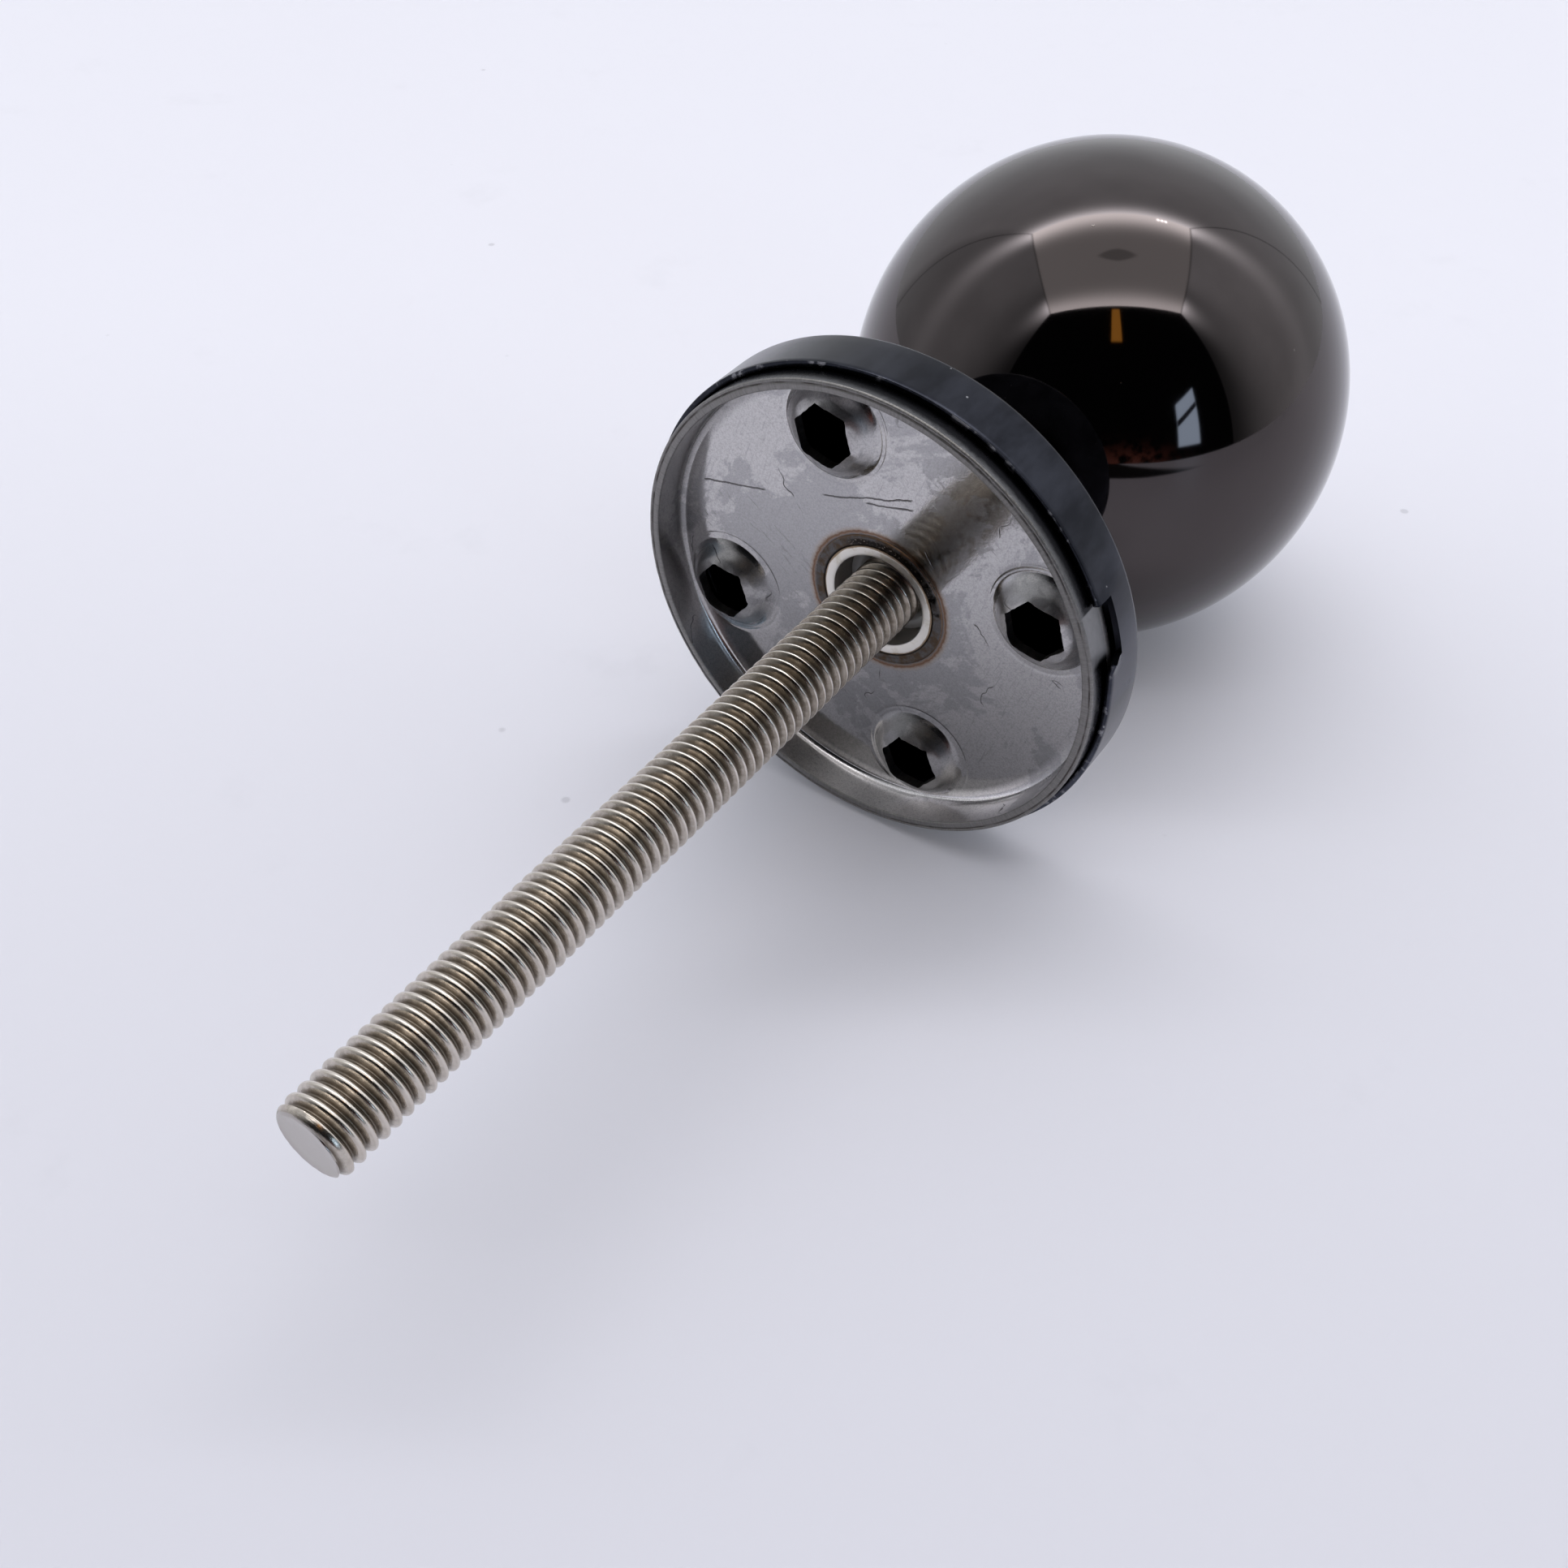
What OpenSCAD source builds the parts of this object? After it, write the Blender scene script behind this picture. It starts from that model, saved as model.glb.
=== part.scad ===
// Ball door knob with a rose and an M6 fixing rod.
// The knob's axis is Y. The ball is on the -Y side, the rod points to +Y and +Z is up.
// The origin is where the axis meets the door's face, which is the plane of the base plate's rim.

/* [Ball] */
// Outer diameter of the hollow ball
ball_d = 44.4; // [36:0.2:60]
// Wall of each pressed half of the ball
ball_wall = 1.2; // [0.8:0.1:2]
// Bare length from the door's face to the nearest point of the ball
neck_reach = 17.7; // [14:0.1:30]

/* [Neck] */
// Outer diameter of the neck tube
neck_d = 10; // [8.4:0.1:12]
// Wall of the neck tube
neck_wall = 0.9; // [0.7:0.05:1.1]
// Length of the neck tube inside the ball
neck_inside = 4; // [2:0.5:8]
// Depth of the tube's mouth below the door's face
mouth_depth = 3.05; // [2.4:0.05:3.6]

/* [Threaded insert] */
// Length of the threaded insert
insert_len = 12; // [8:0.5:14.5]
// Depth of the insert below the tube's mouth
insert_recess = 2.5; // [1.5:0.1:3.2]

/* [Rod] */
// Outer diameter of the rod's thread
rod_d = 5.9; // [4.9:0.1:6.2]
// Depth of the thread, from its outer diameter to its pitch diameter
thread_half_depth = 0.275; // [0.2:0.005:0.35]
// Length of the rod past the door's face
rod_reach = 58.2; // [30:0.2:90]
// Chamfer at the rod's tip
rod_chamfer = 0.7; // [0.3:0.05:0.9]

/* [Base plate] */
// Outer diameter of the pressed base plate
plate_d = 40.9; // [34:0.1:60]
// Thickness of the base plate's sheet
plate_t = 0.9; // [0.6:0.05:1.2]
// Depth of the dish, from the rim to its floor
plate_depth = 3.2; // [2.6:0.05:4.2]
// Inside corner radius of the dish
plate_corner = 0.6; // [0.3:0.1:1.4]

/* [Screw recesses] */
// Number of screw recesses
screw_count = 4; // [3:1:6]
// Distance from the plate's outer wall to the ring of screw holes
screw_inset = 5.45; // [5:0.05:7]
// Clear hole for each screw
screw_hole_d = 5.2; // [4:0.1:5.8]
// Width of each pressed recess at the floor
recess_d = 8.6; // [7.4:0.1:9.4]
// Height of each pressed recess over the floor
recess_h = 1.45; // [1:0.05:2]
// Angle of the first screw hole above the X axis
screw_angle = 73.3; // [0:0.1:90]

/* [Rose cover] */
// Thickness of the cover's sheet
cover_t = 0.5; // [0.4:0.05:0.8]
// Radial gap between the cover and the base plate
cover_gap = 0.1; // [0.05:0.01:0.3]
// Gap between the cover's face and the base plate when the cover is pushed home
cover_face_gap = 0.2; // [0.1:0.05:0.5]
// Distance that the cover is drawn back from the door's face
cover_back = 1.65; // [0:0.05:8]
// Outside corner radius of the cover
cover_corner = 0.6; // [0.3:0.05:1]
// Width of the prying notch along the cover's edge
notch_w = 4.8; // [3:0.1:8]
// Depth of the prying notch
notch_depth = 1.65; // [1:0.05:2.2]
// Angle of the notch above the X axis
notch_angle = 161.9; // [0:0.1:360]

/* [Welds] */
// Leg of the weld between the neck and the ball
neck_weld_leg = 1; // [0.5:0.1:1.5]
// Width of the weld round the tube's mouth
mouth_weld_w = 0.95; // [0.6:0.05:1.4]
// Width of the root bead inside the ball's seam
seam_weld_w = 1.6; // [1:0.1:2.5]

/* [Fits] */
// Radial clearance of a running fit
running_gap = 0.06; // [0.02:0.01:0.1]
// Axial gap between faces that pass or meet a stop
stop_gap = 0.3; // [0.1:0.05:0.6]

/* [Hidden] */
$fn = 96;
fine_fn = 720;
cut = 1;
ball_r = ball_d / 2;
ball_y = -neck_reach - ball_r;
neck_r = neck_d / 2;
neck_bore_r = neck_r - neck_wall;
neck_end_y = -neck_reach - neck_inside;
mouth_y = -mouth_depth;
insert_y = mouth_y - insert_recess;
insert_end_y = insert_y - insert_len;
rod_r = rod_d / 2;
thread_r = rod_r - thread_half_depth;
rod_end_y = insert_end_y + stop_gap;
floor_y = -plate_depth;
plate_r = plate_d / 2;
plate_back_y = floor_y - plate_t;
screw_ring_r = plate_r - screw_inset;
recess_top_d = screw_hole_d + plate_t;
cover_r = plate_r + cover_gap + cover_t;
cover_h = plate_depth + plate_t + cover_face_gap + cover_t;
cover_mouth_y = -cover_back;
cover_face_y = cover_mouth_y - cover_h;

// Stands a shape that was drawn along Z on the knob's axis, with its zero at y.
module on_axis(y = 0) {
    translate([0, y, 0]) rotate([-90, 0, 0]) children();
}

// A round bar along the knob's axis between two places on it.
module bar(r, from_y, to_y) {
    on_axis(from_y) cylinder(r = r, h = to_y - from_y);
}

// A spherical shell about the ball's centre.
module ball_shell() {
    difference() {
        sphere(r = ball_r);
        sphere(r = ball_r - ball_wall);
    }
}

// Half of space on one side of the ball's seam, cut to the ball's size.
module ball_half(side) {
    size = ball_d + 2 * cut;
    translate([-size / 2, side > 0 ? 0 : -size, -size / 2]) cube(size);
}

// Section of a shallow cup with a round outside corner, open upwards.
module cup_section(r, h, wall, corner) {
    difference() {
        solid_cup_section(r, h, corner);
        translate([0, wall]) solid_cup_section(r - wall, h, max(corner - wall, 0.1));
    }
}

// Section of a solid disc with one round bottom corner.
module solid_cup_section(r, h, corner) {
    union() {
        square([r - corner, h]);
        translate([0, corner]) square([r, h - corner]);
        intersection() {
            translate([r - corner, corner]) circle(r = corner);
            translate([r - corner, 0]) square([corner, corner]);
        }
    }
}

// Places a shape at each screw hole, standing on the dish's floor.
module at_screws() {
    for (i = [0 : screw_count - 1])
        rotate([0, 0, -screw_angle - i * 360 / screw_count])
            translate([screw_ring_r, 0, 0]) children();
}

module ball_front_shell() {
    color("#4a4648") translate([0, ball_y, 0])
        intersection() {
            ball_shell();
            ball_half(-1);
        }
}

module ball_rear_shell() {
    color("#4a4648") difference() {
        translate([0, ball_y, 0]) intersection() {
            ball_shell();
            ball_half(1);
        }
        bar(neck_r, ball_y, 0);
    }
}

// The root bead is a low ring on the inside of the seam.
module ball_seam_weld() {
    bore_r = ball_r - ball_wall;
    bead_r = sqrt(pow(bore_r, 2) - pow(seam_weld_w / 2, 2));
    color("#9a938a") on_axis(ball_y - seam_weld_w / 2) difference() {
        cylinder(r = bead_r, h = seam_weld_w);
        translate([0, 0, -cut]) cylinder(r = bead_r - seam_weld_w / 4, h = seam_weld_w + 2 * cut);
    }
}

// The weld fills the corner between the tube and the ball.
module neck_weld() {
    corner_y = ball_y + sqrt(pow(ball_r, 2) - pow(neck_r, 2));
    seat_y = ball_y + sqrt(pow(ball_r, 2) - pow(neck_r + neck_weld_leg, 2));
    color("#5a5654") on_axis() rotate_extrude() difference() {
        polygon([[neck_r, seat_y], [neck_r + neck_weld_leg, seat_y], [neck_r, corner_y + neck_weld_leg]]);
        translate([0, ball_y]) circle(r = ball_r, $fn = fine_fn);
    }
}

module neck_tube() {
    color("#6a6668") difference() {
        bar(neck_r, neck_end_y, mouth_y);
        bar(neck_bore_r, neck_end_y - cut, mouth_y + cut);
    }
}

module threaded_insert() {
    color("#8c8a86") difference() {
        bar(neck_bore_r, insert_end_y, insert_y);
        bar(thread_r + running_gap, insert_end_y - cut, insert_y + cut);
    }
}

module base_plate() {
    color("#b4b2b0") on_axis(floor_y) difference() {
        union() {
            translate([0, 0, -plate_t]) rotate_extrude()
                cup_section(plate_r, plate_depth + plate_t, plate_t, plate_corner + plate_t);
            at_screws() cylinder(d1 = recess_d, d2 = recess_top_d, h = recess_h);
        }
        at_screws() translate([0, 0, -plate_t])
            cylinder(d1 = recess_d - plate_t, d2 = recess_top_d - plate_t, h = recess_h);
        at_screws() translate([0, 0, -plate_t - cut])
            cylinder(d = screw_hole_d, h = plate_t + recess_h + 2 * cut);
        translate([0, 0, -plate_t - cut]) cylinder(r = neck_r, h = plate_t + 2 * cut);
    }
}

// The weld ring stands on the dish's floor and reaches just past the tube's mouth.
module mouth_weld() {
    height = plate_depth - mouth_depth + mouth_weld_w / 8;
    color("#6e6258") on_axis(floor_y) rotate_extrude()
        polygon([[neck_r, 0], [neck_r + mouth_weld_w, 0],
                 [neck_r + mouth_weld_w * 0.7, height], [neck_r, height]]);
}

module rose_cover() {
    edge = cover_r + cut;
    color("#43454c") on_axis(cover_face_y) difference() {
        rotate_extrude() cup_section(cover_r, cover_h, cover_t, cover_corner);
        translate([0, 0, -cut]) cylinder(r = neck_r + cover_gap, h = cover_t + 2 * cut);
        rotate([0, 0, -notch_angle]) translate([0, -notch_w / 2, cover_h - notch_depth])
            cube([edge, notch_w, notch_depth + cut]);
    }
}

// The turns inside the insert are a plain bar at the pitch diameter.
module threaded_rod() {
    shoulder_y = insert_y + stop_gap;
    color("#8f8474") union() {
        bar(thread_r, rod_end_y, shoulder_y);
        bar(rod_r, shoulder_y, rod_reach - rod_chamfer);
        on_axis(rod_reach - rod_chamfer)
            cylinder(r1 = rod_r, r2 = rod_r - rod_chamfer, h = rod_chamfer);
    }
}

ball_front_shell();
ball_rear_shell();
ball_seam_weld();
neck_weld();
neck_tube();
threaded_insert();
base_plate();
mouth_weld();
rose_cover();
threaded_rod();
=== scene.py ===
# A hollow ball door knob with its rose, screw plate and M6 fixing rod, lying on a pale table in a light tent.
# Lengths are in millimetres until a mesh is made. The knob's axis is Y and the rod points to +Y.
import math
import random
import bmesh
import bpy
from mathutils import Matrix, Vector, noise
from mathutils.geometry import delaunay_2d_cdt


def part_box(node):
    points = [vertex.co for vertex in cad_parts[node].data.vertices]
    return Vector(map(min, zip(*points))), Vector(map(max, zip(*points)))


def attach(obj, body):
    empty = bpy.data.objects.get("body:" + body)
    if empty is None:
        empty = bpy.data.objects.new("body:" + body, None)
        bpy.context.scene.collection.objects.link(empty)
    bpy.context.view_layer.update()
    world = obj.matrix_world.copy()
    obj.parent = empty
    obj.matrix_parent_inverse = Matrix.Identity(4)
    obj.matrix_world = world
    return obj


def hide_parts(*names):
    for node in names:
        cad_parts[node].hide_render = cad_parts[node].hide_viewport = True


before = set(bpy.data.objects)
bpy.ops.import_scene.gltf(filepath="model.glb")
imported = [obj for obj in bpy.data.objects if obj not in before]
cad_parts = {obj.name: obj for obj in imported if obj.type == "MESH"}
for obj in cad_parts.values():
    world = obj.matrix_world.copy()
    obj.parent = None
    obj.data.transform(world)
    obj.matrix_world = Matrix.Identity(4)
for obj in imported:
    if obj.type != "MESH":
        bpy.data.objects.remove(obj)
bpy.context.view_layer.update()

MM = 0.001
TAU = 2 * math.pi

# Camera, as the object was seen.
CAMERA_LENS = 39.0
CAMERA_SENSOR = 36.0
CAMERA_PLACE = (-55.9, 87.3, 83.8)
CAMERA_AZIMUTH = 125.9
CAMERA_ELEVATION = 44.4
CAMERA_ROLL = -1.31

# The knob lies on its ball and on the cover's edge, so the table is tilted against the knob's axis.
TABLE_TILT = 1.64
TABLE_DROP = 21.08
TABLE_SIZE = 3000
TABLE_FRONT = 190
TABLE_LIFT = 0.09

# Sheet, corner and thread sizes of the real parts.
BALL_WALL = 1.2
NECK_WALL = 0.9
PLATE_SHEET = 0.9
PLATE_CORNER = 0.6
PLATE_FLOOR_Y = -3.2
SCREW_RING_R = 15.0
SCREW_ANGLE = 73.3
SCREW_COUNT = 4
RECESS_FOOT_R = 4.3
RECESS_TOP_R = 2.55
RECESS_H = 1.45
RECESS_GROOVE_R = 4.72
COVER_SHEET = 0.5
COVER_CORNER = 0.6
COVER_BORE_GAP = 0.1
NOTCH_ANGLE = 161.9
NOTCH_SPAN = 13.1
NOTCH_DEPTH = 1.65
PITCH = 1.0
ROOT_R = 2.4
CREST_Y = -2.94
BURN_ANGLE = 112.0
# Angle, distance from the axis and width of each pit in the mouth weld; then the plate's long scratches.
WELD_PITS = ((153.5, 5.42, 0.30), (167.9, 5.42, 0.24), (141.0, 5.46, 0.14))
SCRATCHES = (((17.1, 5.1), (10.6, 6.4)), ((5.4, 7.9), (-2.9, 10.5)), ((1.5, 8.7), (-3.0, 9.7)),
             ((-4.0, 6.6), (-5.0, 5.1)))
INSERT_BORE_R = 3.0

# The tent's walls, in heights of its ceiling over the knob, and the way its front opening faces.
FRONT_X = math.cos(math.radians(122.0))
FRONT_Y = math.sin(math.radians(122.0))
TENT_BACK = 0.47
TENT_FRONT = 0.38
TENT_LEFT = 0.52
TENT_RIGHT = 0.57
BULBS_LEFT = (-0.325, -0.352, -0.378)
BACKDROP = (0.87, 0.875, 0.95)


def box_mm(node):
    """Lowest and highest corner of a CAD node, in millimetres."""
    low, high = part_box(node)
    return Vector(low) / MM, Vector(high) / MM


ball_high = box_mm("ball_front_shell")[1]
tube_low, tube_high = box_mm("neck_tube")
weld_high = box_mm("neck_weld")[1]
ring_low, ring_high = box_mm("mouth_weld")
insert_low, insert_high = box_mm("threaded_insert")
plate_high = box_mm("base_plate")[1]
cover_low, cover_high = box_mm("rose_cover")
rod_low, rod_high = box_mm("threaded_rod")

BALL_R = ball_high.x
BALL_Y = ball_high.y
TUBE_R = tube_high.x
PLATE_R = plate_high.x
COVER_R = cover_high.x
ROD_R = rod_high.x


# Camera

def make_camera():
    """The camera stands at the photograph's place and angle."""
    azimuth = math.radians(CAMERA_AZIMUTH)
    elevation = math.radians(CAMERA_ELEVATION)
    back = Vector((math.cos(azimuth) * math.cos(elevation),
                   math.sin(azimuth) * math.cos(elevation),
                   math.sin(elevation)))
    data = bpy.data.cameras.new("camera")
    data.lens = CAMERA_LENS
    data.sensor_width = CAMERA_SENSOR
    data.clip_start = 0.005
    camera = bpy.data.objects.new("camera", data)
    bpy.context.collection.objects.link(camera)
    turn = back.to_track_quat("Z", "Y").to_matrix().to_4x4()
    roll = Matrix.Rotation(math.radians(CAMERA_ROLL), 4, "Z")
    camera.matrix_world = Matrix.Translation(Vector(CAMERA_PLACE) * MM) @ turn @ roll
    bpy.context.scene.camera = camera


# Shader nodes

class Net:
    """A node tree with short calls that add nodes and link them."""

    def __init__(self, tree):
        self.tree = tree
        tree.nodes.clear()

    def add(self, kind, **settings):
        node = self.tree.nodes.new(kind)
        for name, value in settings.items():
            setattr(node, name, value)
        return node

    def put(self, socket, value):
        if isinstance(value, bpy.types.NodeSocket):
            self.tree.links.new(value, socket)
        elif socket.type == "RGBA" and len(value) == 3:
            socket.default_value = (*value, 1)
        else:
            socket.default_value = value

    def math(self, operation, *values, clamp=False):
        node = self.add("ShaderNodeMath", operation=operation, use_clamp=clamp)
        for socket, value in zip(node.inputs, values):
            self.put(socket, value)
        return node.outputs[0]

    def total(self, *values):
        result = values[0]
        for value in values[1:]:
            result = self.math("ADD", result, value)
        return result

    def times(self, *values):
        result = values[0]
        for value in values[1:]:
            result = self.math("MULTIPLY", result, value)
        return result

    def less(self, first, second):
        return self.math("SUBTRACT", first, second)

    def blend(self, factor, first, second):
        """The number first where factor is 0 and second where it is 1."""
        return self.total(self.times(first, self.less(1.0, factor)), self.times(second, factor))

    def step(self, value, low, high, bottom=0.0, top=1.0):
        """A smooth step of value from bottom at low to top at high."""
        node = self.add("ShaderNodeMapRange", interpolation_type="SMOOTHSTEP")
        for socket, given in zip(node.inputs, (value, low, high, bottom, top)):
            self.put(socket, given)
        return node.outputs[0]

    def bump_at(self, value, centre, width):
        """1 where value is at centre, falling to 0 as a bell of that width."""
        offset = self.math("DIVIDE", self.less(value, centre), width)
        return self.math("EXPONENT", self.times(offset, offset, -1.0))

    def mix(self, factor, first, second, mode="MIX"):
        node = self.add("ShaderNodeMix", data_type="RGBA", blend_type=mode)
        self.put(node.inputs[0], factor)
        self.put(node.inputs[6], first)
        self.put(node.inputs[7], second)
        return node.outputs[2]

    def tint(self, colour, by):
        return self.mix(1.0, colour, by, "MULTIPLY")

    def grey(self, level):
        return self.vector(level, level, level)

    def vector(self, x, y, z):
        node = self.add("ShaderNodeCombineXYZ")
        for socket, value in zip(node.inputs, (x, y, z)):
            self.put(socket, value)
        return node.outputs[0]

    def split(self, vector):
        node = self.add("ShaderNodeSeparateXYZ")
        self.put(node.inputs[0], vector)
        return node.outputs[0], node.outputs[1], node.outputs[2]

    def noise(self, vector, scale, detail=3.0, rough=0.5, distortion=0.0):
        node = self.add("ShaderNodeTexNoise", noise_dimensions="3D")
        self.put(node.inputs["Vector"], vector)
        self.put(node.inputs["Scale"], scale)
        self.put(node.inputs["Detail"], detail)
        self.put(node.inputs["Roughness"], rough)
        self.put(node.inputs["Distortion"], distortion)
        return node.outputs[0]

    def cells(self, vector, scale, feature="F1"):
        node = self.add("ShaderNodeTexVoronoi", feature=feature)
        self.put(node.inputs["Vector"], vector)
        self.put(node.inputs["Scale"], scale)
        return node

    def stretched(self, vector, angle, stretch):
        """vector turned about Y by angle degrees and squeezed along its X, for marks that run one way."""
        node = self.add("ShaderNodeMapping", vector_type="TEXTURE")
        self.put(node.inputs["Vector"], vector)
        self.put(node.inputs["Rotation"], (0.0, math.radians(angle), 0.0))
        self.put(node.inputs["Scale"], (stretch, 1.0, 1.0))
        return node.outputs[0]


class Surface(Net):
    """A material's node tree with a Principled shader, and object coordinates in millimetres."""

    def __init__(self, name, metallic):
        self.material = bpy.data.materials.new(name)
        self.material.use_nodes = True
        super().__init__(self.material.node_tree)
        self.shader = self.add("ShaderNodeBsdfPrincipled")
        self.shader.inputs["Metallic"].default_value = metallic
        output = self.add("ShaderNodeOutputMaterial")
        self.put(output.inputs["Surface"], self.shader.outputs[0])
        place = self.add("ShaderNodeVectorMath", operation="SCALE")
        self.put(place.inputs[0], self.add("ShaderNodeTexCoord").outputs["Object"])
        place.inputs["Scale"].default_value = 1 / MM
        self.place = place.outputs[0]
        self.x, self.y, self.z = self.split(self.place)
        self.radius = self.math("SQRT", self.total(self.times(self.x, self.x), self.times(self.z, self.z)))
        self.angle = self.math("ARCTAN2", self.z, self.x)

    def finish(self, colour, roughness, height=None, depth=0.05):
        """Links the colour, the roughness and a bump of that depth in millimetres."""
        self.put(self.shader.inputs["Base Color"], colour)
        self.put(self.shader.inputs["Roughness"], roughness)
        if height is not None:
            bump = self.add("ShaderNodeBump")
            bump.inputs["Strength"].default_value = 1.0
            bump.inputs["Distance"].default_value = depth * MM
            self.put(bump.inputs["Height"], height)
            self.put(self.shader.inputs["Normal"], bump.outputs[0])
        return self.material

    def around(self, across, along):
        """Coordinates for marks that run across the axis: the angle, then the radius or the height."""
        return self.vector(self.times(self.angle, across), along, 0.0)

    def flecks(self, scale, size, blur, rarity, fade=0.02):
        """Small round spots, one in some of the cells: the rarer, the closer rarity is to 1."""
        grains = self.cells(self.place, scale)
        chance = self.split(grains.outputs["Color"])[0]
        return self.times(self.step(grains.outputs["Distance"], size, blur, 1.0, 0.0),
                          self.step(chance, rarity, rarity + fade))

    def warped(self, amount, scale):
        """The place pushed about by noise, so that lines drawn with it waver."""
        push = self.add("ShaderNodeTexNoise")
        self.put(push.inputs["Vector"], self.place)
        self.put(push.inputs["Scale"], scale)
        node = self.add("ShaderNodeVectorMath", operation="MULTIPLY_ADD")
        self.put(node.inputs[0], push.outputs[1])
        self.put(node.inputs[1], (amount, amount, amount))
        self.put(node.inputs[2], self.place)
        return node.outputs[0]

    def line(self, start, end, width, wobble=0.12):
        """1 on a wavering hairline between two (x, z) places."""
        span_x, span_z = end[0] - start[0], end[1] - start[1]
        length = math.hypot(span_x, span_z)
        from_x = self.less(self.x, start[0])
        from_z = self.less(self.z, start[1])
        along = self.total(self.times(from_x, span_x / length), self.times(from_z, span_z / length))
        across = self.total(self.times(from_x, -span_z / length), self.times(from_z, span_x / length))
        waver = self.less(self.noise(self.place, 0.7, 3.0), 0.5)
        off = self.math("ABSOLUTE", self.total(across, self.times(waver, wobble * 4)))
        inside = self.times(self.step(along, 0.0, 0.4), self.step(along, length - 0.4, length, 1.0, 0.0))
        return self.times(self.step(off, width * 0.4, width, 1.0, 0.0), inside)


def tent_places(net, way):
    """Where a ray in that direction meets the box-shaped tent, and which of its sides that is."""
    x, y, up = net.split(way)
    front = net.total(net.times(x, FRONT_X), net.times(y, FRONT_Y))
    left = net.total(net.times(x, FRONT_Y), net.times(y, -FRONT_X))
    to_front = net.math("DIVIDE", front, TENT_FRONT)
    sides = net.math("MAXIMUM", net.math("DIVIDE", left, TENT_LEFT), net.math("DIVIDE", left, -TENT_RIGHT))
    ends = net.math("MAXIMUM", to_front, net.math("DIVIDE", front, -TENT_BACK))
    walls = net.math("MAXIMUM", sides, ends)
    reach = net.math("MAXIMUM", net.math("MAXIMUM", walls, up), 0.001)
    place = [net.math("DIVIDE", value, reach) for value in (front, left, up)]
    is_ceiling = net.math("GREATER_THAN", up, walls)
    is_open = net.math("GREATER_THAN", to_front, net.math("MAXIMUM", sides, up))
    from_seam = net.math("ABSOLUTE", net.less(net.math("MAXIMUM", up, ends), sides))
    return place, is_ceiling, is_open, from_seam


def tent_ceiling(net, at_front, at_left):
    """The lit ceiling: a wide lamp band at each end, three bulbs and a small round port."""
    lamps = net.total(net.times(net.bump_at(at_front, -TENT_BACK, 0.12), 5.6),
                      net.times(net.bump_at(at_front, TENT_FRONT, 0.10), 2.8), 1.0)
    for bulb_left in BULBS_LEFT:
        bulb = net.times(net.bump_at(at_front, -0.445, 0.010), net.bump_at(at_left, bulb_left, 0.008))
        lamps = net.total(lamps, net.times(bulb, 26.0))
    port = net.total(net.bump_at(at_front, -0.055, 0.055), net.bump_at(at_left, -0.04, 0.13))
    return net.times(lamps, net.step(port, 1.25, 1.6, 1.0, 0.55))


def lamp_glow(net, at_front, drop, start, lean, fade, power):
    """A lamp band's glow on a wall: it leans along the wall and fades as it drops below the ceiling."""
    return net.times(net.bump_at(at_front, net.total(net.times(drop, lean), start), 0.07),
                     net.math("EXPONENT", net.times(drop, fade)), power)


def tent_walls(net, way, at_front, at_left, at_height):
    """The pale walls, darker on the left and toward the opening, with the lamps' glow on them."""
    wall = net.total(0.60, net.times(net.noise(way, 3.0, 4.0), 0.34),
                     net.times(net.step(at_height, -0.1, 0.5), 0.12))
    wall = net.times(wall, net.step(at_left, TENT_LEFT - 0.1, TENT_LEFT, 1.0, 0.72),
                     net.step(at_front, 0.0, TENT_FRONT, 1.0, 0.10))
    drop = net.less(1.0, at_height)
    return net.total(wall, lamp_glow(net, at_front, drop, -0.45, 0.35, -3.8, 6.0),
                     lamp_glow(net, at_front, drop, 0.33, -0.15, -7.0, 5.5))


def tent_opening(net, way, at_left, at_height):
    """The dark room past the opening, with a leaning window, a warm strip and a dim red patch."""
    slope = net.total(at_height, net.times(at_left, 0.75))
    window = net.times(net.step(at_left, -0.335, -0.325), net.step(at_left, -0.225, -0.235),
                       net.step(at_height, 0.035, 0.045), net.step(slope, 0.02, 0.01))
    bar = net.step(net.math("ABSOLUTE", net.total(slope, 0.055)), 0.008, 0.014)
    strip = net.times(net.step(at_left, -0.045, -0.04), net.step(at_left, 0.012, 0.007),
                      net.step(at_height, 0.50, 0.53), net.step(at_height, 0.94, 0.92))
    patchy = net.step(net.noise(way, 14.0, 3.0), 0.38, 0.6)
    ember = net.times(net.bump_at(at_left, -0.06, 0.13), net.bump_at(at_height, 0.0, 0.045), patchy)
    room = net.mix(window, (0.006, 0.006, 0.007), (1.9, 2.5, 3.2))
    room = net.mix(net.times(window, net.less(1.0, bar)), room, (0.02, 0.02, 0.03))
    room = net.mix(strip, room, (1.7, 0.75, 0.12))
    return net.mix(ember, room, (0.34, 0.12, 0.09))


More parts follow.
